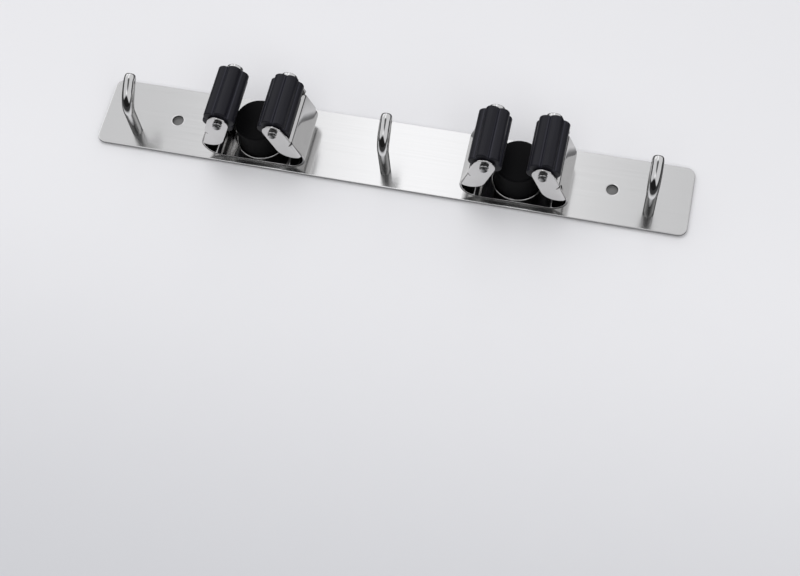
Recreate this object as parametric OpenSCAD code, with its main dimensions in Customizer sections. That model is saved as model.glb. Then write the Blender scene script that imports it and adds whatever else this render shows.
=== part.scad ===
// Wall rack with two spring clips for mop handles and three coat-style hooks.
// X runs along the plate, Z is up the wall, and the front faces -Y.
// The origin is at the middle of the plate's back face, which lies on the wall.

/* [Plate] */
// Length of the back plate, left to right
plate_length = 275; // [260:1:330]
// Height of the back plate
plate_height = 35; // [33:0.5:50]
// Sheet thickness of the back plate
plate_thickness = 1.2; // [1:0.1:2]
// Radius of the plate's four corners
corner_radius = 4; // [1:0.5:8]
// Distance from each end of the plate to its wall screw hole
screw_inset = 35.2; // [31:0.1:38]
// Diameter of each wall screw hole
screw_hole_d = 5.2; // [4:0.1:6]

/* [Hooks] */
// Distance from each end of the plate to its end hook
hook_inset = 17.9; // [13:0.1:20.5]
// Distance of the hooks below the plate's centre line
hook_drop = 9; // [7:0.5:12]
// Diameter of the hook rod
hook_rod_d = 5; // [4:0.1:6]
// Distance from the plate to the corner of the bend, on the rod's axis
hook_stem = 20.3; // [16:0.1:28]
// Angle that the rod is bent upwards
hook_bend = 55; // [35:1:80]
// Bend radius on the rod's axis
hook_bend_r = 7; // [5:0.5:9]
// Length from the corner of the bend to the tip
hook_leg = 15; // [11:0.5:25]
// Radius that rounds the tip's rim
hook_tip_r = 1.6; // [0.5:0.1:1.9]

/* [Clips] */
// Distance from each end of the plate to the middle of the nearer clip
clip_inset = 77.5; // [74.5:0.1:79.5]
// Distance of the clips below the plate's centre line
clip_drop = 2.4; // [0:0.1:3]

/* [Spring sheet] */
// Thickness of the spring sheet
sheet_t = 1; // [0.8:0.1:1.2]
// Width of the spring sheet, along the wall's height
sheet_w = 25; // [20:0.5:27]
// Half length of the flat seat, up to where the bend starts
seat_half = 15.6; // [14.6:0.1:17.5]
// Outer radius of the two bends
bend_r = 8.7; // [7:0.1:10]
// Angle that each arm leans in towards its partner
arm_lean = 19.5; // [10:0.5:24]
// Length of the arm's web, from the bend to the top of its lip
web_length = 12.6; // [12:0.1:17]
// Outer radius of the folds between the web and its ears and lip
fold_r = 1.7; // [1.5:0.1:2.2]
// How far the lip along the web's front edge is turned in, from the web's outer face
lip_depth = 3.2; // [2.6:0.1:3.8]
// Width of the ears
ear_w = 9.6; // [8.6:0.1:11]
// Distance of the roller's axis inside the web's outer face
axis_inset = 4.4; // [4:0.1:5.5]
// Depth of the slit between the web's lip and each ear
slit_depth = 2.3; // [1.9:0.1:3.5]

/* [Rollers] */
// Diameter over the roller's lobes
roller_d = 15.1; // [13:0.1:16]
// Number of lobes round a roller
roller_lobes = 6; // [5:1:9]
// Radius of one lobe's rounded back
lobe_r = 3.2; // [3:0.1:4.4]
// Diameter of the screw that the roller turns on
axle_d = 4; // [3:0.1:4.5]
// Diameter of the axle screw's pan head
axle_head_d = 7.6; // [6.5:0.1:8.5]
// Length of screw that shows below the lower ear
axle_end = 2; // [1:0.1:3]

/* [Bumper] */
// Diameter of the rubber bumper
bumper_d = 21.5; // [20.5:0.1:23]
// Height of the bumper above the spring sheet
bumper_h = 15; // [10:0.1:16]
// Radius of the bumper's front rim
bumper_rim = 1; // [0.3:0.1:2]
// Width of the low collar round the bumper's foot
collar_w = 1.1; // [0.8:0.1:1.4]
// Height of the collar above the spring sheet
collar_h = 0.5; // [0.3:0.1:0.8]
// Distance between the two rivets under the bumper
rivet_spacing = 10; // [9:0.1:11]
// Diameter of the rivets' shanks
rivet_d = 4; // [3:0.1:4.2]

/* [Clearances] */
// Radial play of a shank in its hole
pin_play = 0.05; // [0.03:0.01:0.08]
// Play between a roller's end and the ear beside it
end_play = 0.3; // [0.2:0.05:0.5]
// Gap between a roller and the lip of its web
web_gap = 0.6; // [0.5:0.05:2]
// Air round a rivet's head inside the bumper
pocket_air = 0.4; // [0.3:0.1:0.6]

/* [Hidden] */
$fn = 64;
overcut = 1;

// The screw holes, end hooks and clips are set out from the plate's ends
screw_x = plate_length / 2 - screw_inset;
hook_x = plate_length / 2 - hook_inset;
clip_x = plate_length / 2 - clip_inset;

// Rivet heads, and the flush cones that hold rivets and hooks at the back of the plate
rivet_head_d = rivet_d * 1.8;
rivet_head_h = rivet_d * 0.35;
flush_depth = plate_thickness * 0.6;
flush_flare = 0.8;
spigot_r = hook_rod_d * 0.36;

// The bend from the seat to the web is split half way, where the arm flexes
half_bend_angle = (90 + arm_lean) / 2;

// The ears stand outside the sheet's edges by the fold, and reach in to ear_inner
ear_outer_z = sheet_w / 2 + fold_r;
ear_inner_z = ear_outer_z - sheet_t;
ear_inner = axis_inset + ear_w / 2;
ear_round_r = ear_inner - fold_r;
ear_rear = 0.7;
axis_reach = web_length + web_gap + roller_d / 2;
slit_end = web_length - slit_depth;

roller_length = 2 * (ear_inner_z - end_play);
lobe_ring_r = roller_d / 2 - lobe_r;
// Angles at which the four rollers have come to rest, from the left clip's left one on
roller_turns = [33, 22, 4, 6];
core_r = lobe_ring_r * cos(180 / roller_lobes) + lobe_r * 0.6;
axle_head_h = axle_head_d * 0.34;
axle_dome_r = axle_head_d * 1.6;
axle_chamfer = 0.4;

hook_tangent = hook_bend_r * tan(hook_bend / 2);
leg_root = 0.3;
leg_hair = 0.01;

left = -1;
centre = 0;
right = 1;

// Places

// Turns Z to point out of the wall, along -Y
module outwards() {
    rotate([90, 0, 0]) children();
}

// Origin at the middle of a clip, on the plate's front face
module at_clip(side) {
    translate([side * clip_x, -plate_thickness, -clip_drop]) children();
}

// Mirrors a right-hand arm to make a left-hand one
module on_side(side) {
    mirror([side < 0 ? 1 : 0, 0, 0]) children();
}

// Frame on the web's outer face, where the bend ends: X points out of the web, -Y along it
module on_web() {
    translate([seat_half + bend_r * cos(arm_lean), -bend_r * (1 + sin(arm_lean)), 0])
        rotate([0, 0, -arm_lean])
            children();
}

// The roller's axis, in the middle of its length
module on_axis() {
    on_web() translate([-axis_inset, -axis_reach, 0]) children();
}

// Shapes that repeat

// A straight hole out of the wall, with a flare at the plate's back for a flush cone
module flush_hole(hole_r) {
    outwards() {
        translate([0, 0, -overcut]) cylinder(h = plate_thickness + 2 * overcut, r = hole_r);
        flush_cone(hole_r);
    }
}

// The cone that is upset at the back of the plate, flush with its back face
module flush_cone(shank_r) {
    cylinder(h = flush_depth, r1 = shank_r + flush_flare, r2 = shank_r);
}

module plate_outline() {
    inner_length = plate_length - 2 * corner_radius;
    inner_height = plate_height - 2 * corner_radius;
    square([plate_length, inner_height], center = true);
    square([inner_length, plate_height], center = true);
    for (x = [-1, 1], y = [-1, 1])
        translate([x * inner_length / 2, y * inner_height / 2]) circle(corner_radius);
}

// A half of the bend in the spring sheet, turning on from the X axis about its own centre
module half_bend(angle) {
    translate([-bend_r, 0, 0])
        rotate_extrude(angle = angle)
            translate([bend_r - sheet_t, -sheet_w / 2]) square([sheet_t, sheet_w]);
}

// Outline of one ear: a tongue with a round end on the roller's axis and a rounded rear corner
module ear_outline() {
    translate([-axis_inset, -axis_reach]) circle(ear_w / 2);
    translate([-ear_inner, -axis_reach]) square([ear_w, axis_reach - slit_end]);
    translate([-ear_inner, -slit_end]) square([ear_round_r, slit_end - ear_rear - ear_round_r]);
    translate([-fold_r, -ear_rear - ear_round_r])
        intersection() {
            circle(ear_round_r);
            translate([-ear_round_r, 0]) square(ear_round_r);
        }
}

// Quarter-round fold between the web and the upper ear
module ear_fold() {
    translate([-fold_r, -ear_rear, sheet_w / 2])
        outwards()
            linear_extrude(slit_end - ear_rear)
                intersection() {
                    difference() {
                        circle(fold_r);
                        circle(fold_r - sheet_t);
                    }
                    square(fold_r);
                }
}

// Lip along the web's front edge, turned in towards the roller
module web_lip() {
    translate([0, 0, -sheet_w / 2])
        linear_extrude(sheet_w) {
            translate([-fold_r, fold_r - web_length])
                intersection() {
                    difference() {
                        circle(fold_r);
                        circle(fold_r - sheet_t);
                    }
                    translate([0, -fold_r]) square(fold_r);
                }
            translate([-lip_depth, -web_length]) square([lip_depth - fold_r, sheet_t]);
        }
}

module upper_ear() {
    ear_fold();
    difference() {
        translate([0, 0, ear_inner_z]) linear_extrude(sheet_t) ear_outline();
        translate([-axis_inset, -axis_reach, 0]) cylinder(h = ear_outer_z + overcut, r = axle_d / 2 + pin_play);
    }
}

// Sub-parts

// Back plate with two screw holes and the holes for hooks and rivets
module back_plate() {
    color("silver")
        difference() {
            outwards() linear_extrude(plate_thickness) plate_outline();
            for (side = [left, right]) {
                translate([side * screw_x, 0, 0])
                    outwards()
                        translate([0, 0, -overcut])
                            cylinder(h = plate_thickness + 2 * overcut, d = screw_hole_d);
                for (x = [-1, 1])
                    translate([side * clip_x + x * rivet_spacing / 2, 0, -clip_drop])
                        flush_hole(rivet_d / 2 + pin_play);
            }
            for (side = [left, centre, right])
                translate([side * hook_x, 0, -hook_drop]) flush_hole(spigot_r + pin_play);
        }
}

// Bent rod with a round-rimmed tip, on a spigot that is upset behind the plate
module hook(side) {
    rod_r = hook_rod_d / 2;
    color("gainsboro")
        translate([side * hook_x, 0, -hook_drop]) {
            outwards() {
                cylinder(h = plate_thickness, r = spigot_r);
                flush_cone(spigot_r);
                translate([0, 0, plate_thickness]) cylinder(h = hook_stem - hook_tangent, r = rod_r);
            }
            // The bend turns about an axis along X, above the stem
            translate([0, -plate_thickness - hook_stem + hook_tangent, hook_bend_r])
                rotate([0, 90, 0])
                    rotate_extrude(angle = -hook_bend)
                        translate([hook_bend_r, 0]) circle(rod_r);
            // The leg is a hair thinner, so that its root lies inside the bend
            translate([0, -plate_thickness - hook_stem, 0])
                rotate([90 - hook_bend, 0, 0])
                    translate([0, 0, hook_tangent - leg_root])
                        rotate_extrude()
                            hook_leg_profile(rod_r - leg_hair, hook_leg - hook_tangent + leg_root);
        }
}

// Half section of the straight leg, with its rim rounded at the tip
module hook_leg_profile(rod_r, length) {
    square([rod_r, length - hook_tip_r]);
    square([rod_r - hook_tip_r, length]);
    translate([rod_r - hook_tip_r, length - hook_tip_r])
        intersection() {
            circle(hook_tip_r);
            square(hook_tip_r);
        }
}

// Flat seat of the spring sheet, with a low collar round the bumper's foot and the first half of the bend at each end
module clip_seat(side) {
    color("lightgray")
        at_clip(side)
            difference() {
                union() {
                    translate([-seat_half, -sheet_t, -sheet_w / 2])
                        cube([2 * seat_half, sheet_t, sheet_w]);
                    translate([0, -sheet_t / 2, 0])
                        outwards()
                            rotate_extrude()
                                translate([bumper_d / 2 + pin_play, 0])
                                    square([collar_w, sheet_t / 2 + collar_h]);
                    for (arm = [left, right])
                        on_side(arm)
                            translate([seat_half, 0, 0])
                                rotate([0, 0, 90]) half_bend(-half_bend_angle);
                }
                for (x = [-1, 1])
                    translate([x * rivet_spacing / 2, overcut, 0])
                        outwards() cylinder(h = sheet_t + 2 * overcut, r = rivet_d / 2 + pin_play);
            }
}

// Sprung arm: the second half of the bend, the web with its lip, and two folded ears
module clip_arm(side, arm) {
    color("lightgray")
        at_clip(side)
            on_side(arm)
                on_web() {
                    half_bend(half_bend_angle);
                    translate([-sheet_t, fold_r - web_length, -sheet_w / 2])
                        cube([sheet_t, web_length - fold_r, sheet_w]);
                    web_lip();
                    upper_ear();
                    mirror([0, 0, 1]) upper_ear();
                }
}

// Rubber bumper that a handle is pushed back against, hollow over the rivet heads
module clip_bumper(side) {
    body_r = bumper_d / 2;
    color("black")
        at_clip(side)
            translate([0, -sheet_t, 0])
                outwards()
                    difference() {
                        rotate_extrude() {
                            square([body_r, bumper_h - bumper_rim]);
                            square([body_r - bumper_rim, bumper_h]);
                            translate([body_r - bumper_rim, bumper_h - bumper_rim])
                                intersection() {
                                    circle(bumper_rim);
                                    square(bumper_rim);
                                }
                        }
                        for (x = [-1, 1])
                            translate([x * rivet_spacing / 2, 0, -overcut])
                                cylinder(h = rivet_head_h + pocket_air + overcut,
                                         r = rivet_head_d / 2 + pocket_air);
                    }
}

// The two rivets that hold the spring sheet on the plate
module clip_rivets(side) {
    color("gray")
        at_clip(side)
            for (x = [-1, 1])
                translate([x * rivet_spacing / 2, plate_thickness, 0])
                    outwards() {
                        cylinder(h = plate_thickness + sheet_t, d = rivet_d);
                        flush_cone(rivet_d / 2);
                        translate([0, 0, plate_thickness + sheet_t])
                            cylinder(h = rivet_head_h, d = rivet_head_d);
                    }
}

// Fluted rubber roller with a bore for its axle screw
module clip_roller(side, arm) {
    color("#1c1c22")
        at_clip(side)
            on_side(arm)
                on_axis()
                    rotate(roller_turns[side + 1 + (arm + 1) / 2])
                        difference() {
                            translate([0, 0, -roller_length / 2])
                                linear_extrude(roller_length) {
                                    circle(core_r);
                                    for (i = [0:roller_lobes - 1])
                                        rotate(i * 360 / roller_lobes)
                                            translate([lobe_ring_r, 0]) circle(lobe_r);
                                }
                            cylinder(h = roller_length + 2 * overcut, r = axle_d / 2 + pin_play, center = true);
                        }
}

// Axle screw: low pan head on the upper ear, and its end standing out below the lower ear
module clip_axle(side, arm) {
    shank_bottom = -ear_outer_z - axle_end;
    color("whitesmoke")
        at_clip(side)
            on_side(arm)
                on_axis() {
                    translate([0, 0, shank_bottom + axle_chamfer])
                        cylinder(h = ear_outer_z - shank_bottom - axle_chamfer, d = axle_d);
                    translate([0, 0, shank_bottom])
                        cylinder(h = axle_chamfer, d1 = axle_d - 2 * axle_chamfer, d2 = axle_d);
                    translate([0, 0, ear_outer_z])
                        rotate_extrude()
                            intersection() {
                                square([axle_head_d / 2, axle_head_h]);
                                translate([0, axle_head_h - axle_dome_r]) circle(axle_dome_r);
                            }
                }
}

back_plate();
hook(left);  // hook_left
hook(centre);  // hook_centre
hook(right);  // hook_right
clip_seat(left);  // left_clip_seat
clip_arm(left, left);  // left_clip_arm_left
clip_arm(left, right);  // left_clip_arm_right
clip_bumper(left);  // left_clip_bumper
clip_rivets(left);  // left_clip_rivets
clip_roller(left, left);  // left_clip_roller_left
clip_roller(left, right);  // left_clip_roller_right
clip_axle(left, left);  // left_clip_axle_left
clip_axle(left, right);  // left_clip_axle_right
clip_seat(right);  // right_clip_seat
clip_arm(right, left);  // right_clip_arm_left
clip_arm(right, right);  // right_clip_arm_right
clip_bumper(right);  // right_clip_bumper
clip_rivets(right);  // right_clip_rivets
clip_roller(right, left);  // right_clip_roller_left
clip_roller(right, right);  // right_clip_roller_right
clip_axle(right, left);  // right_clip_axle_left
clip_axle(right, right);  // right_clip_axle_right
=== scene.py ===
# %% [markdown]
# # A wall rack for mops and brooms
# A brushed steel strip carries three bent-rod hooks and two spring clips.
# Each clip is one bent sheet of polished spring steel with a rubber bumper in
# its middle and two fluted rubber rollers between its ears.
# The measured solids come first. They fix every place and size, and the pieces
# below only give them the edges, threads and finishes that a solid model lacks.

# %% Load the measured frame
from math import cos, pi, radians, sin, sqrt, tan

import bmesh
import bpy
from mathutils import Matrix, Vector


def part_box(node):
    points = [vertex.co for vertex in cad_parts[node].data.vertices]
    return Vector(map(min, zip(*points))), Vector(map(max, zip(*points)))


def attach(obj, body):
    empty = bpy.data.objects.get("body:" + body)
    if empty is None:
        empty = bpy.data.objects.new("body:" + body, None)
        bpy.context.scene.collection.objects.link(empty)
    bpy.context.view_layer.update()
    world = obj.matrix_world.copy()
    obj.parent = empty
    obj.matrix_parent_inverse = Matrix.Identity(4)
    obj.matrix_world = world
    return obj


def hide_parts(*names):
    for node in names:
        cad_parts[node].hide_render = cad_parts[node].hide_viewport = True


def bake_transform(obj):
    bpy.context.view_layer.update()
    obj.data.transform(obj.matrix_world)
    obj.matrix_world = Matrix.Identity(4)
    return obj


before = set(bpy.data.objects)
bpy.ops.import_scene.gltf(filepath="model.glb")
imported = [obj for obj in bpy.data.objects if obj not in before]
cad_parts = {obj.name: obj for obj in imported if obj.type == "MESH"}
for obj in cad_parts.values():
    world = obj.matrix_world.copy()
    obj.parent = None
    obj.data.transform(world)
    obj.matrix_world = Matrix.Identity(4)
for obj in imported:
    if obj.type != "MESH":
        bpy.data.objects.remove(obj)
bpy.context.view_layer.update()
MM = 0.001

# %% [markdown]
# Shader and geometry maths reads best as plain expressions. A Wire stands for
# one socket, and arithmetic on it adds Math nodes to its tree. A Board adds any
# other node, with its settings first and then its sockets, because some
# settings decide which sockets a node has.

# %% Sockets that can be added and multiplied
class Wire:
    def __init__(self, board, socket):
        self.board, self.socket = board, socket

    def __add__(self, other):
        return self.board.math("ADD", self, other)

    def __radd__(self, other):
        return self.board.math("ADD", other, self)

    def __sub__(self, other):
        return self.board.math("SUBTRACT", self, other)

    def __rsub__(self, other):
        return self.board.math("SUBTRACT", other, self)

    def __mul__(self, other):
        return self.board.math("MULTIPLY", self, other)

    def __rmul__(self, other):
        return self.board.math("MULTIPLY", other, self)

    def __truediv__(self, other):
        return self.board.math("DIVIDE", self, other)

    def __rtruediv__(self, other):
        return self.board.math("DIVIDE", other, self)

    def __pow__(self, other):
        return self.board.math("POWER", self, other)


# %% A board that adds nodes
class Board:
    def __init__(self, tree):
        self.tree = tree

    def feed(self, socket, value):
        if isinstance(value, Wire):
            self.tree.links.new(value.socket, socket)
        else:
            socket.default_value = value

    def add(self, kind, settings=None, sockets=None, out=0):
        node = self.tree.nodes.new(kind)
        for name, value in (settings or {}).items():
            setattr(node, name, value)
        for key, value in (sockets or {}).items():
            self.feed(node.inputs[key], value)
        return Wire(self, node.outputs[out])

    def math(self, operation, *values):
        return self.add("ShaderNodeMath", {"operation": operation}, dict(enumerate(values)))


def parts_of(board, vector):
    node = board.add("ShaderNodeSeparateXYZ", None, {0: vector}).socket.node
    return [Wire(board, socket) for socket in node.outputs]


print("node helpers ready")

# %% [markdown]
# Every finish starts from the Principled shader. Values that are the same all
# over are set on the shader itself, and only colour, roughness and relief vary.
# Object coordinates are in metres here, so a noise stretched to 5000 per metre
# has grains of a fifth of a millimetre.

# %% A finish with its constants, and what varies over it
def new_finish(name, **constants):
    finish = bpy.data.materials.new(name)
    finish.use_nodes = True
    shader = finish.node_tree.nodes["Principled BSDF"]
    for socket, value in constants.items():
        shader.inputs[socket.replace("_", " ")].default_value = value
    board = Board(finish.node_tree)
    place = board.add("ShaderNodeTexCoord", out="Object")
    return finish, board, place, shader


def dress(board, shader, colour, roughness, normal):
    for socket, value in (("Base Color", colour), ("Roughness", roughness), ("Normal", normal)):
        board.feed(shader.inputs[socket], value)


# %% Stretched noise, tint, relief and two soft curves
def grain(board, place, per_metre, detail, shift=(0.0, 0.0, 0.0)):
    stretched = board.add("ShaderNodeMapping", None,
                          {"Vector": place, "Scale": per_metre, "Location": shift})
    return board.add("ShaderNodeTexNoise", None, {"Vector": stretched, "Scale": 1.0, "Detail": detail})


def tint(board, share, dark, light, clamped=True):
    dark, light = [tone if isinstance(tone, Wire) else (*tone, 1.0) for tone in (dark, light)]
    return board.add("ShaderNodeMix", {"data_type": "RGBA", "clamp_factor": clamped},
                     {0: share, 6: dark, 7: light}, out=2)


def relief(board, height, depth, strength):
    return board.add("ShaderNodeBump", None, {"Height": height, "Distance": depth, "Strength": strength})


def ease(board, value, low, high):
    """A soft step, from 0 at the first bound to 1 at the second."""
    return board.add("ShaderNodeMapRange", {"interpolation_type": "SMOOTHSTEP"},
                     {"Value": value, "From Min": low, "From Max": high})


def bell(board, value):
    """A soft bump that is 1 where the value is 0 and falls off on both sides."""
    return board.math("EXPONENT", 0 - value * value)


# %% [markdown]
# The back plate is brushed along its length. Brushing leaves fine scratches that
# blur a reflection across them and keep it sharp along them, so the shader is
# anisotropic, turned a quarter so that highlights stretch across the brushing.
# Streaks of two sizes vary the tone and the roughness.

# %% Brushed plate
brushed, board, place, shader = new_finish(
    "brushed_plate", Metallic=1.0, Anisotropic=0.7, Anisotropic_Rotation=0.25)
fine = grain(board, place, (30.0, 30.0, 6000.0), 3.0)
broad = grain(board, place, (8.0, 8.0, 900.0), 2.0, (3.0, 1.0, 7.0))
streak = 0.6 * fine + 0.4 * broad
dress(board, shader, tint(board, streak, (0.66, 0.66, 0.655), (0.80, 0.80, 0.795)),
      0.17 + 0.09 * streak, relief(board, fine, 0.000004, 0.5))
print("finish:", brushed.name)

# %% [markdown]
# The hooks are polished rod. A faint drawing texture runs along them, too fine
# to see from a step away, and handling leaves soft smudges that dull the shine.
# The specular tint darkens the metal at a glancing angle, as a painted dark outline that stands in for the
# shade along the rod's edges.

# %% Polished rod
# The near-black specular tint paints a dark outline, as shade along the rod's edges.
rod_steel, board, place, shader = new_finish(
    "polished_rod", Metallic=1.0, Specular_Tint=(0.05, 0.05, 0.05, 1.0))
smudge = grain(board, place, (160.0, 160.0, 160.0), 4.0)
hair = grain(board, place, (5000.0, 700.0, 700.0), 1.0)
dress(board, shader, tint(board, smudge, (0.72, 0.72, 0.715), (0.82, 0.82, 0.815)),
      0.05 + 0.09 * smudge ** 2.0, relief(board, hair, 0.000001, 0.3))
print("finish:", rod_steel.name)

# %% [markdown]
# The spring sheet is mirror bright. Rolled and bent sheet is never quite flat,
# so a very shallow, wide waviness lets its reflections wander a little.

# %% Polished spring sheet
spring_steel, board, place, shader = new_finish("polished_spring_sheet", Metallic=1.0)
smudge = grain(board, place, (220.0, 220.0, 220.0), 4.0)
wave = grain(board, place, (90.0, 90.0, 60.0), 1.0, (2.0, 5.0, 1.0))
dress(board, shader, tint(board, smudge, (0.62, 0.615, 0.61), (0.70, 0.695, 0.69)),
      0.05 + 0.10 * smudge ** 2.0, relief(board, wave, 0.00004, 0.25))
print("finish:", spring_steel.name)

# %% [markdown]
# The screws are plated, and fine pits break their shine. The piece carries the
# depth of its thread's groove as an attribute, and the finish turns dark and
# dull where the groove is deep: oil dirt in the thread, and painted shade in its
# valleys. The rivets are plain steel, duller and rougher.

# %% Plated screws and plain rivets
plated, board, place, shader = new_finish("plated_screw", Metallic=1.0)
pits = grain(board, place, (1800.0, 1800.0, 1800.0), 3.0)
# Dark where the thread's groove is deep: oil dirt and painted shade in its valleys.
thread_dirt_and_shade = board.add("ShaderNodeAttribute", {"attribute_name": "thread_depth"}, out="Fac")
plating = tint(board, pits, (0.70, 0.70, 0.70), (0.84, 0.84, 0.84))
dress(board, shader, tint(board, thread_dirt_and_shade ** 0.8, plating, (0.012, 0.012, 0.012)),
      0.10 + 0.14 * pits + 0.4 * thread_dirt_and_shade, relief(board, pits, 0.00001, 0.3))

rivet_steel, board, place, shader = new_finish("plain_rivet", Metallic=1.0)
turned = grain(board, place, (900.0, 900.0, 900.0), 4.0)
dress(board, shader, tint(board, turned, (0.50, 0.50, 0.50), (0.66, 0.66, 0.66)),
      0.28 + 0.22 * turned, relief(board, turned, 0.00002, 0.4))
print("finishes:", plated.name, rivet_steel.name)

# %% [markdown]
# The rollers are bluish black rubber with a satin skin, and the bumper is a
# deeper black. A fine grain in the relief keeps the shine from looking like
# plastic, and a slow change of roughness reads as bloom and handling. A roller
# carries an attribute that is 0 on the crest of a lobe and 1 in a valley. A
# painted highlight lightens a line beside each valley, and painted shade darkens
# the valley's depth.

# %% Two kinds of rubber
# Place, width and strength of the painted highlight beside each valley, and how sharply painted shade darkens
# the valley.
HIGHLIGHT_AT, HIGHLIGHT_WIDTH, HIGHLIGHT_TONE, VALLEY_SHADE_POWER = 0.87, 0.07, 3.0, 12.0


def rubber(name, dark, light, shine, spread, gloss):
    finish, board, place, shader = new_finish(name, Specular_IOR_Level=gloss)
    skin = grain(board, place, (2600.0, 2600.0, 2600.0), 3.0)
    bloom = grain(board, place, (140.0, 140.0, 60.0), 3.0, (4.0, 2.0, 9.0))
    flute = board.add("ShaderNodeAttribute", {"attribute_name": "flute"}, out="Fac")
    # A painted highlight beside each valley, and painted shade in the valley's depth.
    painted_highlight = bell(board, (flute - HIGHLIGHT_AT) / HIGHLIGHT_WIDTH)
    shade = bloom * (1 - flute ** VALLEY_SHADE_POWER) + HIGHLIGHT_TONE * painted_highlight
    dress(board, shader, tint(board, shade, dark, light, clamped=False),
          shine + spread * (0.5 * skin + 0.5 * bloom), relief(board, skin, 0.00003, 0.35))
    return finish


roller_rubber = rubber("roller_rubber", (0.0055, 0.0055, 0.0085), (0.011, 0.011, 0.016), 0.30, 0.20, 0.24)
bumper_rubber = rubber("bumper_rubber", (0.0022, 0.0022, 0.0026), (0.004, 0.004, 0.0046), 0.42, 0.25, 0.09)
print("finishes:", roller_rubber.name, bumper_rubber.name)

# %% [markdown]
# A piece's modifiers are baked into a plain mesh as soon as it is shaped. Faces
# are smooth, and only edges over 40 degrees stay sharp.

# %% Make, bake and smooth a piece
SHARP = radians(40)


def new_piece(name, mesh, finish):
    piece = bpy.data.objects.new(name, mesh)
    bpy.context.scene.collection.objects.link(piece)
    mesh.materials.append(finish)
    return piece


def smoothed(mesh):
    mesh.shade_smooth()
    mesh.set_sharp_from_angle(angle=SHARP)
    return mesh


def baked(piece):
    depsgraph = bpy.context.evaluated_depsgraph_get()
    drawn = piece.data
    shaped = bpy.data.meshes.new_from_object(piece.evaluated_get(depsgraph))
    piece.modifiers.clear()
    piece.data = smoothed(shaped)
    bpy.data.meshes.remove(drawn)
    shaped.name = piece.name
    return piece


# %% [markdown]
# The plate and the spring sheet are both cut from flat stock, so they share one
# way of making. A flat outline with its holes is filled, a narrow rim is inset
# along every cut edge, Solidify gives the thickness and Bevel breaks the edges.
# The rim keeps the rounding at the edge, and the broad faces stay truly flat.

# %% Cut outlines and give them a thickness
WELD, BROKEN_EDGE = 0.002, radians(50)


def ring(x, y, r, count, start=0.0, sweep=360.0):
    closed = abs(sweep) >= 360
    steps = count if closed else count - 1
    angles = [radians(start + sweep * i / steps) for i in range(count)]
    return [(x + r * cos(a), y + r * sin(a)) for a in angles]


def fill(flat, loops, lay):
    edges = []
    for loop in loops:
        corners = [flat.verts.new(lay(*point)) for point in loop]
        edges += [flat.edges.new((a, b)) for a, b in zip(corners, corners[1:] + corners[:1])]
    bmesh.ops.triangle_fill(flat, edges=edges, use_beauty=True)


def to_mesh(name, flat):
    mesh = bpy.data.meshes.new(name)
    flat.to_mesh(mesh)
    flat.free()
    return mesh


def pressed(name, flat, thickness, finish, rim, edge):
    bmesh.ops.remove_doubles(flat, verts=flat.verts, dist=WELD * MM)
    bmesh.ops.recalc_face_normals(flat, faces=flat.faces)
    bmesh.ops.inset_region(flat, faces=flat.faces, thickness=rim * MM,
                           use_boundary=True, use_even_offset=True)
    piece = new_piece(name, to_mesh(name, flat), finish)
    wall = piece.modifiers.new("wall", "SOLIDIFY")
    wall.thickness, wall.offset = thickness * MM, 0.0
    wall.use_even_offset = wall.use_quality_normals = True
    soft = piece.modifiers.new("broken edges", "BEVEL")
    soft.width, soft.segments = edge * MM, 2
    soft.limit_method, soft.angle_limit = "ANGLE", BROKEN_EDGE
    return baked(piece)


# %% [markdown]
# Places come from the frame. The plate lies on the wall, a hook's middle is its
# box's middle, and a clip is centred on its bumper. No box tells where the holes
# are, so their places and sizes repeat the solids' own.

# %% Read the places of plate, hooks and clips
def middle(node):
    low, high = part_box(node)
    return (low + high) / 2


plate_low, plate_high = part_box("back_plate")
FRONT = plate_low.y
PLATE_T = (plate_high.y - plate_low.y) / MM
HOOKS = {side: middle(f"hook_{side}").x / MM for side in ("left", "centre", "right")}
CLIPS = {side: middle(f"{side}_clip_bumper") for side in ("left", "right")}
ARMS = {"left": -1, "right": 1}
HOOK_Z, HOLE_X, RIVET_X = -9.0, 102.3, 5.0
HOLE_R, SPIGOT_HOLE_R, RIVET_HOLE_R = 2.6, 1.85, 2.05
print("plate", round(PLATE_T, 3), "mm, hooks at", HOOKS)

# %% [markdown]
# The plate's outline has four rounded corners. Two screw holes are open, and
# seven smaller ones take the hooks and rivets, which are upset into a flare at
# the back, so the back edge of those holes is opened out after the bake.

# %% Back plate
CORNER_R, FLARE, FLARE_DEPTH, FLARE_NEAR = 4.0, 0.8, 0.72, 0.6
PLATE_RIM, PLATE_EDGE = 0.55, 0.34


def rounded_outline(half_x, half_z, r, count):
    corners = []
    for x, z, start in ((1, 1, 0), (-1, 1, 90), (-1, -1, 180), (1, -1, 270)):
        corners += ring(x * (half_x - r), z * (half_z - r), r, count, start, 90.0)
    return corners


half_x, half_z = plate_high.x / MM, plate_high.z / MM
filled_holes = [(x, HOOK_Z, SPIGOT_HOLE_R) for x in HOOKS.values()]
for clip in CLIPS.values():
    filled_holes += [(clip.x / MM + x, clip.z / MM, RIVET_HOLE_R) for x in (-RIVET_X, RIVET_X)]
open_holes = [(x, 0.0, HOLE_R) for x in (-HOLE_X, HOLE_X)]
holes = [ring(x, z, r, 48) for x, z, r in open_holes + filled_holes]
blank = bmesh.new()
fill(blank, [rounded_outline(half_x, half_z, CORNER_R, 13)] + holes,
     lambda x, z: Vector((x * MM, FRONT / 2, z * MM)))
plate = pressed("plate_brushed", blank, PLATE_T, brushed, PLATE_RIM, PLATE_EDGE)
for vertex in plate.data.vertices:
    for x, z, r in filled_holes:
        out = Vector((vertex.co.x - x * MM, 0, vertex.co.z - z * MM))
        if out.length < (r + FLARE_NEAR) * MM:
            share = max(0.0, (vertex.co.y + FLARE_DEPTH * MM) / (FLARE_DEPTH * MM))
            vertex.co += out.normalized() * FLARE * MM * share
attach(plate, "rack")
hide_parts("back_plate")
print("plate faces:", len(plate.data.polygons))

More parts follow.
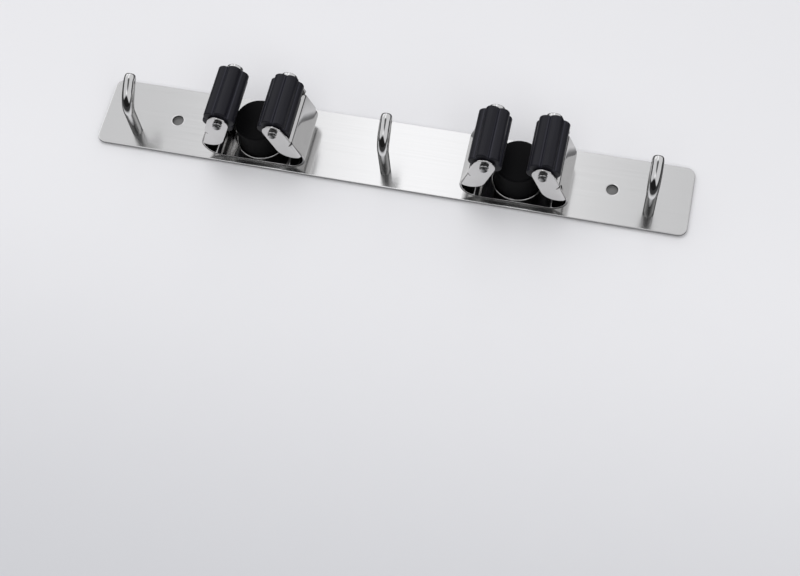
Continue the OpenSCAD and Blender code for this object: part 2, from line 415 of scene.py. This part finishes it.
# %% [markdown]
# Hooks and screws are both rods: a line with a radius at each of its points.
# The line is drawn as a chain of edges that carries the radius as an attribute,
# and a node tree sweeps a circle along it. A thread is a groove that winds down
# the rod, so the same tree moves points inwards by a helix, and a depth of zero
# leaves a plain rod.

# %% Start and end a node tree, and grow a piece from it
def new_tree(name, inputs):
    tree = bpy.data.node_groups.new(name, "GeometryNodeTree")
    tree.interface.new_socket("Geometry", in_out="OUTPUT", socket_type="NodeSocketGeometry")
    keys = {}
    for label, kind in {"Geometry": "Geometry", **inputs, "Finish": "Material"}.items():
        socket = tree.interface.new_socket(label, in_out="INPUT", socket_type="NodeSocket" + kind)
        keys[label] = socket.identifier
    board = Board(tree)
    group = tree.nodes.new("NodeGroupInput")
    wires = {label: Wire(board, group.outputs[i]) for i, label in enumerate(keys)}
    return board, wires, keys


def end_tree(board, shape, material):
    shape = board.add("GeometryNodeRealizeInstances", None, {"Geometry": shape})
    shape = board.add("GeometryNodeSetMaterial", None, {"Geometry": shape, "Material": material})
    board.feed(board.tree.nodes.new("NodeGroupOutput").inputs[0], shape)
    return board.tree


def grown(name, mesh, finish, tree, keys, inputs):
    piece = new_piece(name, mesh, finish)
    growth = piece.modifiers.new("growth", "NODES")
    growth.node_group = tree
    for label, value in {**inputs, "Finish": finish}.items():
        growth[keys[label]] = value
    return baked(piece)


# %% Node tree for a swept rod
board, wires, ROD_KEYS = new_tree("swept_rod", {
    "Sides": "Int", "Pitch": "Float", "Groove": "Float", "Thread low": "Float", "Thread high": "Float"})
line = board.add("GeometryNodeMeshToCurve", None, {"Mesh": wires["Geometry"]})
girth = board.add("GeometryNodeInputNamedAttribute", {"data_type": "FLOAT"}, {"Name": "rod_radius"})
circle = board.add("GeometryNodeCurvePrimitiveCircle", None, {"Resolution": wires["Sides"], "Radius": 1.0})
rod = board.add("GeometryNodeCurveToMesh", None,
                {"Curve": line, "Profile Curve": circle, "Scale": girth, "Fill Caps": True})
x, y, z = parts_of(board, board.add("GeometryNodeInputPosition"))
helix = z / wires["Pitch"] - board.math("ARCTAN2", y, x) / (2 * pi)
tooth = 1 - board.math("ABSOLUTE", 2 * board.math("FRACT", helix) - 1)
above_low = board.math("GREATER_THAN", z, wires["Thread low"])
below_high = board.math("LESS_THAN", z, wires["Thread high"])
depth = above_low * below_high * tooth
rod = board.add("GeometryNodeStoreNamedAttribute", {"data_type": "FLOAT", "domain": "POINT"},
                {"Geometry": rod, "Name": "thread_depth", "Value": depth})
inwards = 1 - depth * wires["Groove"]
threaded = board.add("ShaderNodeCombineXYZ", None, {0: x * inwards, 1: y * inwards, 2: z})
rod = board.add("GeometryNodeSetPosition", None, {"Geometry": rod, "Position": threaded})
rod_tree = end_tree(board, rod, wires["Finish"])
print("tree:", rod_tree.name, len(rod_tree.nodes), "nodes")

# %% Sweep a chain of points
NO_THREAD = (1.0, 0.0, 0.0, 0.0)


def swept(name, stations, finish, sides, thread=NO_THREAD):
    points = [Vector(point) * MM for point, r in stations]
    mesh = bpy.data.meshes.new(name)
    mesh.from_pydata(points, [(i, i + 1) for i in range(len(points) - 1)], [])
    radii = mesh.attributes.new("rod_radius", "FLOAT", "POINT")
    radii.data.foreach_set("value", [r * MM for point, r in stations])
    pitch, groove, low, high = thread
    return grown(name, mesh, finish, rod_tree, ROD_KEYS, {
        "Sides": sides, "Pitch": pitch * MM, "Groove": groove,
        "Thread low": low * MM, "Thread high": high * MM})


def turns(start, end, steps):
    return [start + (end - start) * i / steps for i in range(steps + 1)]


def rounded_rim(top, reach, r, steps):
    """Heights and radii of a rod's rounded rim, from its side to its end face."""
    return [(top - r + r * sin(a), reach - r + r * cos(a)) for a in turns(0.0, pi / 2, steps)]


def moved(piece, *steps):
    for step in steps:
        piece.data.transform(step)
    piece.data.update()


# %% [markdown]
# A hook stands straight out of the plate, bends up by 55 degrees and ends in a
# flat tip with a rounded rim. Cold-bent rod springs back a little, so the last
# degrees of the bend run out slowly into the leg, and the rod is a little wider
# where it was pressed into the bend. Its thinner spigot goes through the plate and
# is upset flush at the back, where it shows as a small disc.

# %% The line of a hook's bend
ROD_R, STEM, BEND, BEND_R, LEG, TIP_R = 2.5, 20.3, radians(55), 7.0, 15.0, 1.6
BEND_EARLY, BEND_LENGTH, BEND_STEPS, RUN_OUT, SWELL = 0.6, 15.5, 60, 2.4, 0.3
SPIGOT_R = 1.8
UPSET_R = SPIGOT_R + FLARE


def off_plate(n):
    return Vector((0.0, FRONT / MM - n, HOOK_Z))


def bend_points():
    points = [off_plate(STEM - BEND_R * tan(BEND / 2) - BEND_EARLY)]
    for i in range(BEND_STEPS):
        turned = BEND * (1 - (1 - (i + 0.5) / BEND_STEPS) ** RUN_OUT)
        points.append(points[-1] + BEND_LENGTH / BEND_STEPS * Vector((0.0, -cos(turned), sin(turned))))
    return points


# %% Three hooks
def hook_stations():
    bend = bend_points()
    tip = off_plate(STEM) + LEG * Vector((0.0, -cos(BEND), sin(BEND)))
    leg = tip - bend[-1]
    ahead = leg.normalized()

    def swollen(path):
        return ROD_R + SWELL * sin(pi * path / (BEND_LENGTH + leg.length))

    spigot = [(0.0, UPSET_R - 0.08), (0.06, UPSET_R), (FLARE_DEPTH, SPIGOT_R), (PLATE_T - 0.02, SPIGOT_R)]
    stem = [(0.0, ROD_R - 0.15), (0.05, ROD_R - 0.04)] + [(n, ROD_R) for n in (0.15, 4.0, 8.0, 12.0)]
    rod = [(off_plate(n - PLATE_T), r) for n, r in spigot] + [(off_plate(n), r) for n, r in stem]
    rod += [(point, swollen(BEND_LENGTH * i / BEND_STEPS)) for i, point in enumerate(bend)]
    rod += [(bend[-1] + ahead * s, swollen(BEND_LENGTH + s)) for s in (0.5, leg.length - TIP_R - 0.3)]
    return rod + [(tip + ahead * s, r) for s, r in rounded_rim(0.0, ROD_R, TIP_R, 10)]


for side, x in HOOKS.items():
    hook = swept(f"hook_{side}_rod", hook_stations(), rod_steel, 56)
    moved(hook, Matrix.Translation((x * MM, 0, 0)))
    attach(hook, "rack")
    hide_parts(f"hook_{side}")
print("hook faces:", len(hook.data.polygons))

# %% [markdown]
# Each clip is one strip of spring steel. From the flat seat it bends up through
# 109.5 degrees, so that the two arms lean together, and each arm's edges are
# folded in as ears. The web between them ends in a short lip that turns in
# behind the roller, and each ear leaves its fold by a sloping shoulder. The
# middle surface is laid out strip by strip: seat, bend, web, fold and ear share
# their edge points, so they join into one sheet.

# %% Sizes of the spring sheet
SHEET_T, HALF_W, SEAT, BEND_OUT, LEAN, WEB = 1.0, 12.5, 15.6, 8.7, radians(19.5), 12.6
FOLD_OUT, SLIT, SHOULDER, LIP, LIP_FOLD = 1.7, 10.3, 2.0, 3.2, 2.3
EAR_IN, EAR_MID, EAR_REAR, EAR_ROUND, EAR_HALF, EAR_BORE = 9.2, 15.0, 0.7, 7.5, 4.8, 2.05
ROLLER_R, ROLLER_GAP, AXIS_IN = 7.55, 0.6, 4.4
AXIS_ALONG = WEB + ROLLER_GAP + ROLLER_R
BEND_MID, FOLD_MID, LIP_MID = [outer - SHEET_T / 2 for outer in (BEND_OUT, FOLD_OUT, LIP_FOLD)]
ACROSS = [-HALF_W, -9.0, -5.0, 0.0, 5.0, 9.0, HALF_W]
FOLD_ROWS = [EAR_REAR, 3.0, 5.5, 8.0, SLIT]
print("roller axis", round(AXIS_ALONG, 2), "mm up the web")

# %% Sections and outlines of an arm
def on_web(inset, along):
    """A point of an arm's section: distance off the clip's middle, and height off the plate."""
    x = SEAT + BEND_OUT * cos(LEAN) - inset * cos(LEAN) - along * sin(LEAN)
    n = BEND_OUT * (1 + sin(LEAN)) - inset * sin(LEAN) + along * cos(LEAN)
    return x, n


def arm_section():
    """The bend, the web and the lip, from the seat outwards."""
    section = [(SEAT + BEND_MID * cos(a), BEND_OUT + BEND_MID * sin(a)) for a in turns(-pi / 2, LEAN, 36)]
    section += [on_web(SHEET_T / 2, along) for along in FOLD_ROWS]
    for a in turns(0.0, pi / 2, 12)[1:]:
        section.append(on_web(LIP_FOLD - LIP_MID * cos(a), WEB - LIP_FOLD + LIP_MID * sin(a)))
    return section + [on_web(LIP, WEB - SHEET_T / 2)]


def fold_section():
    """The fold between web and ear, as insets from the web and places across the clip."""
    return [(FOLD_OUT - FOLD_MID * cos(a), HALF_W + FOLD_MID * sin(a)) for a in turns(0.0, pi / 2, 8)]


def ear_outline():
    edge = [(FOLD_OUT, along) for along in FOLD_ROWS]
    edge += [(AXIS_IN - EAR_HALF, SLIT + SHOULDER)]
    edge += ring(AXIS_IN, AXIS_ALONG, EAR_HALF, 33, 180.0, -180.0)
    edge += [(EAR_IN, EAR_MID)]
    return edge + ring(FOLD_OUT, EAR_REAR + EAR_ROUND, EAR_ROUND, 17, 0.0, -90.0)[:-1]


# %% Lay out one clip's sheet
def strip(flat, rows):
    grid = [[flat.verts.new(point) for point in row] for row in rows]
    for low, high in zip(grid, grid[1:]):
        for i in range(len(low) - 1):
            flat.faces.new((low[i], low[i + 1], high[i + 1], high[i]))


def sheet_surface(clip):
    flat = bmesh.new()

    def lay(x, n, z):
        return Vector((clip.x + x * MM, FRONT - n * MM, clip.z + z * MM))

    seat = [(SEAT, z) for z in ACROSS] + [(-SEAT, z) for z in reversed(ACROSS)]
    rivet_holes = [ring(x, 0, RIVET_HOLE_R, 24) for x in (-RIVET_X, RIVET_X)]
    fill(flat, [seat] + rivet_holes, lambda x, z: lay(x, SHEET_T / 2, z))
    for arm in ARMS.values():
        strip(flat, [[lay(arm * x, n, z) for z in ACROSS] for x, n in arm_section()])
        for ear in (-1, 1):

            def on_ear(inset, along, across=HALF_W + FOLD_MID):
                x, n = on_web(inset, along)
                return lay(arm * x, n, ear * across)

            strip(flat, [[on_ear(inset, along, z) for along in FOLD_ROWS] for inset, z in fold_section()])
            fill(flat, [ear_outline(), ring(AXIS_IN, AXIS_ALONG, EAR_BORE, 32)], on_ear)
    return flat


# %% [markdown]
# The sheet is steel from end to end, but its arms spring apart when a handle is
# pushed in. It is cut in two under the bumper, where no one sees it.

# %% Two half-sheets for each clip
SHEET_RIM, SHEET_EDGE, CUT_NEAR = 0.22, 0.12, 1e-7


def half_of(sheet, name, clip, arm):
    half = bmesh.new()
    half.from_mesh(sheet.data)
    cut = bmesh.ops.bisect_plane(half, geom=half.verts[:] + half.edges[:] + half.faces[:], dist=CUT_NEAR,
                                 plane_co=clip, plane_no=(arm, 0, 0), clear_inner=True)
    edges = [item for item in cut["geom_cut"] if isinstance(item, bmesh.types.BMEdge)]
    bmesh.ops.contextual_create(half, geom=edges)
    bmesh.ops.recalc_face_normals(half, faces=half.faces)
    return new_piece(name, smoothed(to_mesh(name, half)), spring_steel)


for clip_side, clip in CLIPS.items():
    sheet = pressed(f"{clip_side}_sheet", sheet_surface(clip), SHEET_T, spring_steel, SHEET_RIM, SHEET_EDGE)
    for arm_side, arm in ARMS.items():
        half = half_of(sheet, f"{clip_side}_clip_{arm_side}_spring", clip, arm)
        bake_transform(half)
        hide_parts(f"{clip_side}_clip_seat", f"{clip_side}_clip_arm_{arm_side}")
    bpy.data.objects.remove(sheet)
print("half-sheet faces:", len(half.data.polygons))

# %% [markdown]
# The bumper is a plain rubber plug with a flat face and a rounded rim, and its
# foot is eased a little where it meets the sheet. A plug is a short thick rod,
# so the rod tree makes it.

# %% Bumpers
BUMPER_R, BUMPER_H, BUMPER_RIM = 10.75, 15.0, 1.0
plug = [(0.02, BUMPER_R - 0.25), (0.08, BUMPER_R - 0.08)] + [(n, BUMPER_R) for n in (0.25, 4.0, 9.0)]
plug += rounded_rim(BUMPER_H, BUMPER_R, BUMPER_RIM, 10)
foot = FRONT / MM - SHEET_T
for clip_side, clip in CLIPS.items():
    stations = [((clip.x / MM, foot - n, clip.z / MM), r) for n, r in plug]
    bumper = swept(f"{clip_side}_clip_bumper_plug", stations, bumper_rubber, 96)
    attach(bumper, "rack")
    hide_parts(f"{clip_side}_clip_bumper")
print("bumper faces:", len(bumper.data.polygons))

# %% [markdown]
# A roller is a rubber sleeve with six rounded lobes. A filleted rectangle is
# swept round a circle, which gives a plain sleeve with its bore, and the lobes
# then push its outside in and out: each lobe is an arc of a small circle, and
# its distance from the axis follows from the angle to the lobe's middle.

# %% Node tree for a fluted sleeve
board, wires, SLEEVE_KEYS = new_tree("fluted_sleeve", {
    "Bore": "Float", "Outside": "Float", "Length": "Float", "Lobes": "Int", "Lobe radius": "Float",
    "End round": "Float", "Steps": "Int"})
bore, outside, lobe_r = wires["Bore"], wires["Outside"], wires["Lobe radius"]
wall = outside - bore
path = board.add("GeometryNodeCurvePrimitiveCircle", None,
                 {"Resolution": wires["Steps"], "Radius": bore + wall / 2})
section = board.add("GeometryNodeCurvePrimitiveQuadrilateral", None,
                    {"Width": wall, "Height": wires["Length"]})
section = board.add("GeometryNodeFilletCurve", {"mode": "POLY"},
                    {"Curve": section, "Count": 5, "Radius": wires["End round"]})
sleeve = board.add("GeometryNodeCurveToMesh", None, {"Curve": path, "Profile Curve": section})
x, y, z = parts_of(board, board.add("GeometryNodeInputPosition"))
reach = (x * x + y * y) ** 0.5
sector = pi / wires["Lobes"]
off = board.math("WRAP", board.math("ARCTAN2", y, x), sector, 0 - sector)
lobe_ring = outside - lobe_r
side_step = lobe_ring * board.math("SINE", off)
lobe = lobe_ring * board.math("COSINE", off) + (lobe_r ** 2.0 - side_step ** 2.0) ** 0.5
scaled = (bore + (reach - bore) / wall * (lobe - bore)) / reach
sleeve = board.add("GeometryNodeStoreNamedAttribute", {"data_type": "FLOAT", "domain": "POINT"},
                   {"Geometry": sleeve, "Name": "flute", "Value": board.math("ABSOLUTE", off) / sector})
fluted = board.add("ShaderNodeCombineXYZ", None, {0: x * scaled, 1: y * scaled, 2: z})
sleeve = board.add("GeometryNodeSetPosition", None, {"Geometry": sleeve, "Position": fluted})
sleeve_tree = end_tree(board, sleeve, wires["Finish"])
print("tree:", sleeve_tree.name, len(sleeve_tree.nodes), "nodes")

# %% Four rollers
ROLLER = {"Bore": 2.05, "Outside": ROLLER_R, "Length": 25.8, "Lobe radius": 3.2, "End round": 0.45}
LOBES, STEPS_PER_LOBE = 6, 32
RESTS = {("left", -1): 33, ("left", 1): 22, ("right", -1): 4, ("right", 1): 6}
axis_x, axis_n = on_web(AXIS_IN, AXIS_ALONG)


def axis_place(clip, arm):
    return Matrix.Translation((clip.x + arm * axis_x * MM, FRONT - axis_n * MM, clip.z))


def new_sleeve(name, finish, sizes, lobes, steps):
    inputs = {label: size * MM for label, size in sizes.items()}
    return grown(name, bpy.data.meshes.new(name), finish, sleeve_tree, SLEEVE_KEYS,
                 {**inputs, "Lobes": lobes, "Steps": steps})


for clip_side, clip in CLIPS.items():
    for arm_side, arm in ARMS.items():
        roller = new_sleeve(f"{clip_side}_clip_{arm_side}_sleeve", roller_rubber, ROLLER,
                            LOBES, STEPS_PER_LOBE * LOBES)
        rest = radians(RESTS[clip_side, arm]) - LEAN
        moved(roller, Matrix.Rotation(rest if arm > 0 else pi - rest, 4, "Z"), axis_place(clip, arm))
        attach(roller, f"{clip_side}_clip_{arm_side}_roller")
        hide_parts(f"{clip_side}_clip_roller_{arm_side}")
print("roller faces:", len(roller.data.polygons))

# %% [markdown]
# A low collar with a rounded top stands round each bumper's foot and keeps it in
# place. A sleeve with a single lobe as wide as itself is a plain ring, so the same
# tree makes it, and the ring's lower half is sunk in the sheet.

# %% Collars round the bumpers
COLLAR_H, COLLAR_R = 0.5, 11.9
COLLAR = {"Bore": 10.8, "Outside": COLLAR_R, "Length": 2 * COLLAR_H, "Lobe radius": COLLAR_R,
          "End round": 0.45}
for clip_side, clip in CLIPS.items():
    collar = new_sleeve(f"{clip_side}_clip_collar", spring_steel, COLLAR, 1, 128)
    moved(collar, Matrix.Rotation(pi / 2, 4, "X"), Matrix.Translation((clip.x, FRONT - SHEET_T * MM, clip.z)))
    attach(collar, "rack")
print("collar faces:", len(collar.data.polygons))

# %% [markdown]
# The roller turns on a screw. Its low pan head sits on the upper ear, and its end
# stands two millimetres out of the lower ear, where the thread shows as dark
# lines. The rod tree cuts the thread, at the coarse pitch of a screw that forms
# its own thread in the ear.

# %% The outline of an axle screw
SHANK_R, SCREW_END, CHAMFER, PITCH, GROOVE, THREAD_PAST = 2.0, 2.0, 0.4, 1.2, 0.2, 0.1
HEAD_R, HEAD_H, DOME_R, RIM_R, EAR_OUT = 3.8, 2.584, 12.16, 0.6, 14.2
ROW, ROWS, DOME_ROWS = 0.05, 35, 12
SCREW_LOW = -EAR_OUT - SCREW_END


def dome(reach):
    """Height of the head's top at a distance off the axis."""
    return EAR_OUT + HEAD_H - DOME_R + sqrt(DOME_R ** 2 - reach ** 2)


def screw_stations():
    marks = [(SCREW_LOW, SHANK_R - CHAMFER)]
    marks += [(SCREW_LOW + CHAMFER + ROW * i, SHANK_R) for i in range(ROWS + 1)]
    marks += [(0.0, SHANK_R), (EAR_OUT - 0.02, SHANK_R), (EAR_OUT, HEAD_R - 0.15), (EAR_OUT + 0.15, HEAD_R)]
    marks += rounded_rim(dome(HEAD_R - RIM_R), HEAD_R, RIM_R, 8)[:-1]
    for i in range(DOME_ROWS + 1):
        reach = (HEAD_R - RIM_R) * (1 - i / DOME_ROWS)
        marks.append((dome(reach), max(reach, 0.02)))
    return [((0.0, 0.0, z), r) for z, r in marks]


print("screw from", SCREW_LOW, "to", round(dome(0.0), 3), "mm")

# %% Four axle screws
thread = (PITCH, GROOVE, SCREW_LOW - THREAD_PAST, -EAR_OUT + THREAD_PAST)
for clip_side, clip in CLIPS.items():
    for arm_side, arm in ARMS.items():
        screw = swept(f"{clip_side}_clip_{arm_side}_screw", screw_stations(), plated, 48, thread)
        moved(screw, axis_place(clip, arm))
        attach(screw, f"{clip_side}_clip_{arm_side}_arm")
        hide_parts(f"{clip_side}_clip_axle_{arm_side}")
print("screw faces:", len(screw.data.polygons))

# %% [markdown]
# The rivets sit in the seat and the plate, and only their flush tails show, at
# the back. Their solids have the right shape already, so they only get a finish.

# %% Rivets keep their solids
for clip_side in CLIPS:
    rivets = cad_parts[f"{clip_side}_clip_rivets"]
    rivets.data.materials.clear()
    rivets.data.materials.append(rivet_steel)
print("rivets:", rivet_steel.name)

# %% [markdown]
# The rack lies on its back on pale paper, a millimetre above it, and painted
# shade darkens the paper towards the viewer, where the light falls off. It has an
# opening under the plate that the plate hides, and it is clear from behind, so
# the back of the plate can be lit and seen. Two darker discs close the screw
# holes, which are deep in shade. The metal mirrors little of the paper: in
# reflections the paper darkens away from the rack, and along the plate's edge,
# where it lies in the plate's shadow.

# %% Where the paper darkens in reflections
ROOM_X, ROOM_Z, ROOM_FROM, ROOM_TO, ROOM_DARK = 0.125, -0.006, 0.024, 0.065, 0.94
EDGE_Z, EDGE_FROM, EDGE_TO, EDGE_DARK = 0.001, 0.0245, 0.0195, 0.75


def mirrored_dark(board, along, up_wall):
    past_end = board.math("MAXIMUM", board.math("ABSOLUTE", along) - ROOM_X, 0.0)
    away = (past_end ** 2.0 + (up_wall - ROOM_Z) ** 2.0) ** 0.5
    room = ROOM_DARK * ease(board, away, ROOM_FROM, ROOM_TO)
    edge = EDGE_DARK * ease(board, board.math("ABSOLUTE", up_wall - EDGE_Z), EDGE_FROM, EDGE_TO)
    return board.math("MAXIMUM", room, edge) * board.add("ShaderNodeLightPath", out="Is Glossy Ray")


# %% Pale paper under the rack
PAINTED_SHADE_NEAR, PAINTED_SHADE_FAR, FIBRE = -0.26, -0.02, 0.04


def paper_finish(name, far, near):
    finish, board, place, shader = new_finish(name, Roughness=0.85, Specular_IOR_Level=0.1)
    fibre = grain(board, place, (60.0, 60.0, 60.0), 4.0)
    along, _, up_wall = parts_of(board, place)
    # Painted shade: the tone falls from the far colour to the darker near colour towards the viewer, where
    # the light falls off.
    share = ease(board, up_wall, PAINTED_SHADE_NEAR, PAINTED_SHADE_FAR) + FIBRE * (fibre - 0.5)
    dark = mirrored_dark(board, along, up_wall)
    board.feed(shader.inputs["Base Color"], tint(board, dark, tint(board, share, near, far), (0.0, 0.0, 0.0)))
    behind = board.add("ShaderNodeNewGeometry", out="Backfacing")
    clear = board.add("ShaderNodeBsdfTransparent")
    sided = board.add("ShaderNodeMixShader", None, {0: behind, 1: Wire(board, shader.outputs[0]), 2: clear})
    board.feed(finish.node_tree.nodes["Material Output"].inputs["Surface"], sided)
    return finish


pale = paper_finish("pale_paper", (0.75, 0.75, 0.765), (0.54, 0.545, 0.565))
shaded = paper_finish("shaded_paper", (0.20, 0.20, 0.20), (0.18, 0.18, 0.18))
print("papers:", pale.name, shaded.name)

# %% Lay the papers
PAPER_HALF, PAPER_DEPTH, BACKS_DEPTH, BACK_R, OPENING = 4000, 1.0, 0.9, 3.6, 3.0


def laid_paper(name, groups, depth, finish):
    flat = bmesh.new()
    for loops in groups:
        fill(flat, loops, lambda x, z: Vector((x * MM, depth * MM, z * MM)))
    for face in flat.faces:
        face.normal_update()
        if face.normal.y > 0:
            face.normal_flip()
    new_piece(name, to_mesh(name, flat), finish)


border = [(x * PAPER_HALF, z * PAPER_HALF) for x, z in ((-1, -1), (1, -1), (1, 1), (-1, 1))]
opening = rounded_outline(half_x - OPENING, half_z - OPENING, OPENING, 5)
laid_paper("paper", [[border, opening]], PAPER_DEPTH, pale)
laid_paper("hole_backs", [[ring(x, 0.0, BACK_R, 24)] for x in (-HOLE_X, HOLE_X)], BACKS_DEPTH, shaded)
print("paper", 2 * PAPER_HALF, "mm wide,", PAPER_DEPTH, "mm under the plate")

# %% [markdown]
# Polished metal shows its surroundings, so these decide its look. The photograph
# was taken under wide soft light from above and both sides. The viewer's side is
# dim: a dark wedge rises from the horizon there, and the camera makes a darker
# spot above it. They draw the black drop on each hook's bend and the dark core of
# its stem, so that side is darker still where it is seen by way of two reflections.
# A white card on the left only shows in reflections, as the bright strip beside a
# roller. The rack lies on its back, so up is against the world's Y axis.

# %% The sky, with the dark wedge and the camera's spot
SKY, SKY_EDGE, EDGE_SOFT, HORIZON = 0.70, 0.10, 0.06, 0.015
WEDGE_X, WEDGE_TOP, WEDGE_FALL = -0.1, 0.52, 0.9
SPOT_DARK, TWICE_DARK = 0.9, 0.85
CAMERA_SIDE, LEFT_SIDE = (0.0, -0.90, -0.436), (-0.68, -0.60, 0.42)
world = bpy.data.worlds.new("soft_studio")
bpy.context.scene.world = world
world.use_nodes = True
board = Board(world.node_tree)
away = board.add("ShaderNodeTexCoord", out="Generated")
x, y, z = parts_of(board, away)
height = 0 - y


def towards(direction):
    return board.add("ShaderNodeVectorMath", {"operation": "DOT_PRODUCT"},
                     {0: away, 1: direction}, out="Value")


near_side = ease(board, z, 0.05, -0.35)
off_middle = x - WEDGE_X
rise = WEDGE_TOP - WEDGE_FALL * off_middle * off_middle
edge = SKY_EDGE + near_side * board.math("MAXIMUM", rise, 0.0)
twice = ease(board, board.add("ShaderNodeLightPath", out="Glossy Depth"), 1.4, 1.6)
sky = ease(board, height - edge, -EDGE_SOFT, EDGE_SOFT)
sky = sky * (1 - SPOT_DARK * ease(board, towards(CAMERA_SIDE), 0.93, 0.98))
sky = sky * (1 - TWICE_DARK * twice * near_side)
print("sky", SKY, "horizon", HORIZON)

# %% A glow in the middle, the white card and the light behind
GLOW, GLOW_X, GLOW_WIDTH, CARD, BEHIND, BACKDROP = 0.68, -0.152, 0.10, 0.5, 0.75, 0.80
glow = bell(board, (x - GLOW_X) / GLOW_WIDTH)
card = ease(board, towards(LEFT_SIDE), 0.935, 0.985) * board.add("ShaderNodeLightPath", out="Is Glossy Ray")
behind = ease(board, height, -0.35, -0.70)
light = HORIZON + sky * (SKY + GLOW * glow) + CARD * card + BEHIND * behind
seen = board.add("ShaderNodeLightPath", out="Is Camera Ray")
background = world.node_tree.nodes["Background"]
background.inputs["Color"].default_value = (1.0, 1.0, 1.02, 1.0)
board.feed(background.inputs["Strength"], light * (1 - seen) + BACKDROP * seen)
print("glow", GLOW, "card", CARD, "behind", BEHIND)

# %% Softbox from above and a fill from the viewer's side
def softbox(name, width, height, watts, place):
    data = bpy.data.lights.new(name, "AREA")
    data.shape, data.size, data.size_y, data.energy = "RECTANGLE", width, height, watts
    lamp = bpy.data.objects.new(name, data)
    bpy.context.scene.collection.objects.link(lamp)
    lamp.location = place
    lamp.rotation_mode = "QUATERNION"
    lamp.rotation_quaternion = (-Vector(place)).to_track_quat("-Z", "Y")
    lamp.visible_camera = lamp.visible_glossy = False
    print(name, watts, "W")


softbox("softbox", 1.1, 0.9, 5.0, (-0.40, -1.25, 0.25))
softbox("fill", 1.2, 0.9, 5.5, (0.25, -1.05, -0.75))

# %% [markdown]
# The camera was solved from where the plate and the pieces on it stand in the
# photograph, so its place and its three axes are written as they came out.

# %% Camera at the photograph's place
camera_data = bpy.data.cameras.new("camera")
camera_data.sensor_width, camera_data.lens = 36.0, 61.412
camera = bpy.data.objects.new("camera", camera_data)
bpy.context.scene.collection.objects.link(camera)
across = Vector((0.97430676, 0.05951203, 0.21722031))
down = Vector((0.16976637, 0.43973824, -0.88193518))
ahead = Vector((-0.14800583, 0.89615211, 0.4183368))
stand = Matrix.Translation((0.10762859, -0.53511612, -0.31514979))
camera.matrix_world = stand @ Matrix((across, -down, -ahead)).transposed().to_4x4()
bpy.context.scene.camera = camera
bpy.context.scene.view_settings.view_transform = "Standard"
print("lens", camera_data.lens)
